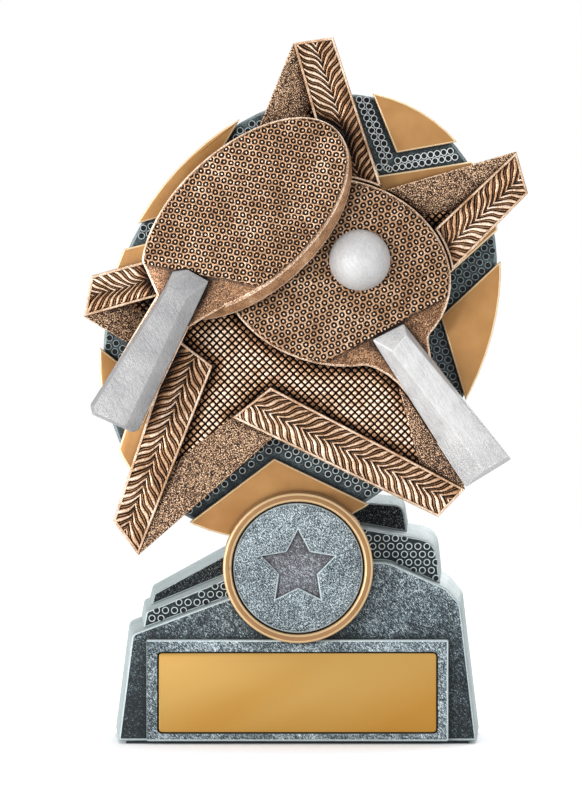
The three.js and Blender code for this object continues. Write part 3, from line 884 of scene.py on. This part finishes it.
def channel_points(rim_face, backing, oval, rows):
    """Ring centres in one channel: rows along both legs of the rim's bent edge."""
    pitch, row, first, radius = rows
    rim = np.array([tuple(p) for p in rim_face.outline])
    inside, _, distance = nearest_on(oval, rim)
    depth = np.where(inside, distance, -distance)
    corner = rim[depth.argmax()]
    ends = rim[depth < depth.min() + 0.35]
    from_corner = ends - corner
    other_leg = from_corner[angle_from(from_corner[0], from_corner).argmax()]
    first_leg = from_corner[angle_from(other_leg, from_corner).argmax()]
    legs = [v / np.linalg.norm(v) for v in (first_leg, other_leg)]
    bisector = legs[0] + legs[1]
    found = []
    for leg, other in (legs, legs[::-1]):
        out = np.array([-leg[1], leg[0]])
        if out @ bisector > 0:
            out = -out
        for j in range(5):
            for i in range(-4, 26):
                shift = out * (first + j * row) + leg * pitch * (i + 0.5 * (j % 2))
                if shift @ (leg - other) > 0.18 * pitch:
                    found.append(corner + shift)
    found = np.array(found)
    inside_oval, _, from_edge = nearest_on(oval, found)
    inside_star, _, from_star = nearest_on(backing, found)
    clear = radius * RING_CLEARANCE
    return found[inside_oval & (from_edge > clear) & ~inside_star & (from_star > clear)]


def build_oval(steel, rings, gold):
    casting("oval_plate", steel, 0.5)
    casting("star_backing", gold, 0.3)
    floor = Face("oval_plate")
    backing = Face("star_backing").outline_on(floor)
    for name, (*rows, shine) in CHANNEL_ROWS.items():
        casting(name, gold, 0.3)
        rim_face = Face(name)
        points = channel_points(rim_face, backing, floor.outline, rows)
        radius = rows[3]
        ring = honeycomb_ring(shine)
        mesh = spread(points, ring, rings, 0, radius * SMALLEST_RING, radius, 5)
        show(name.replace("rim", "rings"), stood(mesh, floor))
        discard(ring)


def build_field(copper, smooth):
    casting("star_field", smooth, 0.1, sink=KNURL_DEPTH + 0.02)
    face = Face("star_field")
    pillow = knurl_pillow()
    points = lattice(face.outline, KNURL_SIZE, KNURL_SIZE / 2, 0, -KNURL_OVERRUN)
    mesh = spread(points, pillow, copper, 0, 0.98, 1.0, 7)
    walls = ["ribbon_" + arm for arm in ARMS] + ["right_bat_blade", "left_bat_blade"]
    # Painted shade on the knurling beside and under the ribbons and bats.
    mesh = shade_beside(cropped(mesh, face.outline), face, walls, FIELD_SHADE)
    show("field_knurling", stood(mesh, face))
    discard(pillow)


def border(name, outline, face, material):
    """A thin raised edge round a ribbon."""
    profile = ((0.0, -RIBBON_DEPTH, 0.2), (0.0, -0.14, 0.7), (0.14, 0.0, 0.95), (BORDER_WIDTH, 0.0, 0.9),
               (BORDER_WIDTH + 0.16, -RIBBON_DEPTH, 0.0))
    verts, relief, faces = [], [], []
    count = len(outline)
    for inset, height, value in profile:
        verts += [(*p, height) for p in grow(outline, -inset)]
        relief += [value] * count
    for r in range(len(profile)):
        following = (r + 1) % len(profile)
        for k in range(count):
            after = (k + 1) % count
            faces.append((r * count + k, r * count + after,
                          following * count + after, following * count + k))
    strip = loose(name, verts, faces, relief)
    mesh = strip.data
    mesh.materials.append(material)
    discard(strip)
    mesh.transform(face.stand)
    mesh.set_sharp_from_angle(angle=math.radians(40))
    return mesh


def build_ribbons(copper, smooth):
    plate_low, plate_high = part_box("oval_plate")
    for number, arm in enumerate(ARMS):
        pitch = LEAF_PITCH[arm]
        left = leaf("left_leaf", pitch, LEFT_LEAF_SWEEP, 1, LEAF_SIDE_LIGHT[arm][0])
        right = leaf("right_leaf", pitch, RIGHT_LEAF_SWEEP, -1, LEAF_SIDE_LIGHT[arm][1])
        node = "ribbon_" + arm
        casting(node, smooth, 0.12, sink=RIBBON_DEPTH)
        face = Face(node)
        outline = face.outline
        centre = sum(outline, Vector((0, 0))) / len(outline)
        hub = face.lay((plate_low + plate_high) / 2)
        tip = max(outline, key=lambda p: (p - hub).length)
        sides = [(outline[k], outline[(k + 1) % len(outline)]) for k in range(len(outline))]
        lengths = [(b - a).length for a, b in sides]
        longest = sides[lengths.index(max(lengths))]
        run = (longest[1] - longest[0]).normalized()
        if run.dot(tip - centre) < 0:
            run = -run
        reach = max(lengths) / 2 + 5
        vein = [centre - run * reach, centre + run * reach]
        values = {"Left leaf": left, "Right leaf": right, "Pitch": pitch, "Smallest": 0.92,
                  "Largest": 1.06, "Seed": number, "Finish": copper}
        mesh = wandered(grown_by(ALONG_VEIN, vein, [(0, 1)], values), LEAF_WANDER, LEAF_WAVE)
        inner = grow(outline, -BORDER_WIDTH)
        # Painted shade on the leaves beside and under the bats.
        mesh = shade_beside(cropped(mesh, inner), face, ("left_bat_blade", "right_bat_blade"), LEAF_SHADE)
        show("leaves_" + arm, stood(mesh, face))
        show("border_" + arm, border("border_" + arm, outline, face, copper))
        discard(left, right)


def build_panels(material):
    for arm in ARMS:
        casting("panel_" + arm, material, 0.2)


def build_bats(copper, blade, groove, silver):
    for side, (pitch, row, angle) in PIP_ROWS.items():
        cell = pip_cell(pitch, row)
        casting(side + "_bat_blade", blade, 0.4)
        rubber = side + "_bat_rubber"
        casting(rubber, groove, 0.1, sink=PIP_DEPTH + 0.04)
        face = Face(rubber)
        points = lattice(face.outline, pitch, row, angle, -PIP_OVERRUN)
        mesh = spread(points, cell, copper, angle, 1.0, 1.0, 11)
        mesh = wandered(mesh, PIP_WANDER, PIP_WAVE)
        mesh = cropped(mesh, face.outline)
        if side == "right":
            # Painted shade on the right rubber beside and under the left blade.
            mesh = shade_beside(mesh, face, ("left_bat_blade",), RUBBER_SHADE)
        show(side + "_bat_pips", stood(mesh, face))
        casting(side + "_bat_handle", silver[side], 0.22)
        discard(cell)


def build_ball(silver):
    """A smooth dome over the same foot as the solid ball."""
    low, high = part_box("ball")
    radius = (high.x - low.x) / 2
    shape = bmesh.new()
    bmesh.ops.create_uvsphere(shape, u_segments=72, v_segments=48, radius=1.0)
    depth = high.y - low.y
    foot = (radius - depth) / radius
    bmesh.ops.bisect_plane(shape, geom=shape.verts[:] + shape.edges[:] + shape.faces[:],
                           plane_co=(0, 0, foot), plane_no=(0, 0, -1), clear_outer=True)
    rim = [e for e in shape.edges if e.is_boundary]
    bmesh.ops.contextual_create(shape, geom=rim)
    bmesh.ops.recalc_face_normals(shape, faces=shape.faces)
    middle = Vector(((low.x + high.x) / 2, high.y + (radius - depth), (low.z + high.z) / 2))
    place = Matrix.Translation(middle) @ Matrix.Rotation(math.radians(90), 4, "X") @ Matrix.Scale(radius, 4)
    mesh = bpy.data.meshes.new("ball_mesh")
    shape.transform(place)
    shape.to_mesh(mesh)
    shape.free()
    mesh.materials.append(silver)
    mesh.shade_smooth()
    mesh.set_sharp_from_angle(angle=math.radians(40))
    show("ball_dome", mesh, ["ball"])


def build_trophy():
    silver = antique_silver("antique_silver_casting", 0.28, fade=0.4)
    framing = antique_silver("antique_silver_frame", 0.02, edge_light=1.0)
    middle = antique_silver("dark_step_silver", 0.5)
    rear = antique_silver("rough_rear_silver", 1.25, contrast=3.4)
    medal_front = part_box("medallion_insert")[0].y / MM
    medal = antique_silver("medallion_silver", -0.02, contrast=1.15, front_level=medal_front)
    rings = relief_silver()
    gold = tan_gold("tan_gold_casting", colour(158, 112, 60), colour(180, 134, 80), colour(236, 212, 172))
    ring_gold = tan_gold("ring_gold", colour(134, 98, 60), colour(154, 116, 76), colour(206, 176, 132))
    relief = relief_copper("rubbed_copper_relief", 0.04, 1.5)
    rubber = relief_copper("rubbed_copper_rubber", 0.02, 3.4)
    knurled = relief_copper("knurled_copper", 0.1, 5.0)
    blade = plain_copper("blade_copper", 0.0, 0.16, 1.6, 0.02)
    groove = plain_copper("groove_copper", -0.5, 0.45, 0.4, 0.03)
    speckled = plain_copper("speckled_copper", -0.04, 0.0, 5.2, 0.06, 5.0, GOLDEN_STOPS)
    # The handles share one silver: the left one is painted darker as painted shade, the right one lighter as
    # painted light.
    left_satin_shaded = satin_silver("left_handle_silver_shaded", -0.14, 0.5)
    right_satin_lit = satin_silver("right_handle_silver_lit", 0.24, 0.5)
    ball_silver = satin_silver("ball_silver", 0.34, 0.64)
    build_base(silver, framing, middle, rear, rings)
    build_medallion_and_plaque(medal, ring_gold, foam_tape(), plaque_gold())
    build_oval(mesh_steel(), rings, gold)
    build_field(knurled, groove)
    build_ribbons(relief, groove)
    build_panels(speckled)
    build_bats(rubber, blade, groove, {"left": left_satin_shaded, "right": right_satin_lit})
    build_ball(ball_silver)
    casting("felt_pad", felt(), 0.1)


# ---- Studio ---------------------------------------------------------------------------------------

def floor():
    """A plain pale floor that fades into the background far from the trophy."""
    mesh = bpy.data.meshes.new("floor")
    reach = 6.0
    mesh.from_pydata([(-reach, -reach, 0), (reach, -reach, 0), (reach, reach, 0), (-reach, reach, 0)], [],
                     [(0, 1, 2, 3)])
    paint = Paint("pale_floor")
    material = paint.finish(colour(250, 250, 250), 0.9, 0.0, paint.noise(3.0), 0.01)
    clear = paint.node("ShaderNodeBsdfTransparent", {}, {})
    centred = paint.node("ShaderNodeVectorMath", {"operation": "LENGTH"}, {0: paint.place}, "Value")
    fade = centred.between(250.0, 900.0)
    surface = Wire(paint, paint.shader.outputs[0])
    shown = paint.node("ShaderNodeMixShader", {}, {0: fade, 1: surface, 2: clear})
    paint.tree.links.new(shown.socket, paint.tree.nodes["Material Output"].inputs["Surface"])
    mesh.materials.append(material)
    ground = bpy.data.objects.new("floor", mesh)
    bpy.context.scene.collection.objects.link(ground)


def lamp(name, place, aim, size, power):
    light = bpy.data.lights.new(name, "AREA")
    light.shape = "RECTANGLE"
    light.size, light.size_y = size
    light.energy = power
    holder = bpy.data.objects.new(name, light)
    holder.location = place
    holder.rotation_euler = (Vector(aim) - Vector(place)).to_track_quat("-Z", "Y").to_euler()
    bpy.context.scene.collection.objects.link(holder)


def studio():
    scene = bpy.context.scene
    scene.view_settings.view_transform = "Standard"
    world = bpy.data.worlds.new("studio")
    scene.world = world
    world.use_nodes = True
    tree = world.node_tree
    back = tree.nodes["Background"]
    path = tree.nodes.new("ShaderNodeLightPath")
    seen = tree.nodes.new("ShaderNodeBackground")
    mixed = tree.nodes.new("ShaderNodeMixShader")
    back.inputs["Color"].default_value = (0.93, 0.96, 1.0, 1.0)
    back.inputs["Strength"].default_value = 0.62
    seen.inputs["Strength"].default_value = 1.0
    seen.inputs["Color"].default_value = (1.0, 1.0, 1.0, 1.0)
    tree.links.new(path.outputs["Is Camera Ray"], mixed.inputs[0])
    tree.links.new(back.outputs[0], mixed.inputs[1])
    tree.links.new(seen.outputs[0], mixed.inputs[2])
    tree.links.new(mixed.outputs[0], tree.nodes["World Output"].inputs["Surface"])
    middle = (0, -0.01, 0.07)
    lamp("key", (-0.66, -0.72, 0.09), middle, (0.5, 0.16), 8.5)
    lamp("fill", (0.8, -0.8, 0.35), middle, (0.7, 0.7), 4)
    lamp("left", (-0.95, 0.05, 0.3), middle, (0.5, 0.5), 4)
    lamp("top", (0.0, 0.1, 0.95), middle, (0.7, 0.5), 4)
    lamp("back", (0.3, 0.9, 0.5), middle, (0.7, 0.7), 5)


SENSOR = 36.0  # mm, along the frame's long side
CAMERA_DISTANCE = 2000  # mm
VIEW_HEIGHT = 152  # mm that the frame takes in at that distance
CAMERA_RISE = 2.0  # degrees above level
CAMERA_AIM = (-1.235, -10, 65)  # mm


def camera():
    eye = bpy.data.cameras.new("camera")
    eye.sensor_width = SENSOR
    eye.lens = SENSOR * CAMERA_DISTANCE / VIEW_HEIGHT
    eye.clip_end = 60
    holder = bpy.data.objects.new("camera", eye)
    rise = math.radians(CAMERA_RISE)
    aim = Vector(CAMERA_AIM) * MM
    back = Vector((0, -math.cos(rise), math.sin(rise)))
    holder.location = aim + back * (CAMERA_DISTANCE * MM)
    holder.rotation_euler = (-back).to_track_quat("-Z", "Y").to_euler()
    bpy.context.scene.collection.objects.link(holder)
    bpy.context.scene.camera = holder


camera()
studio()
floor()
build_trophy()
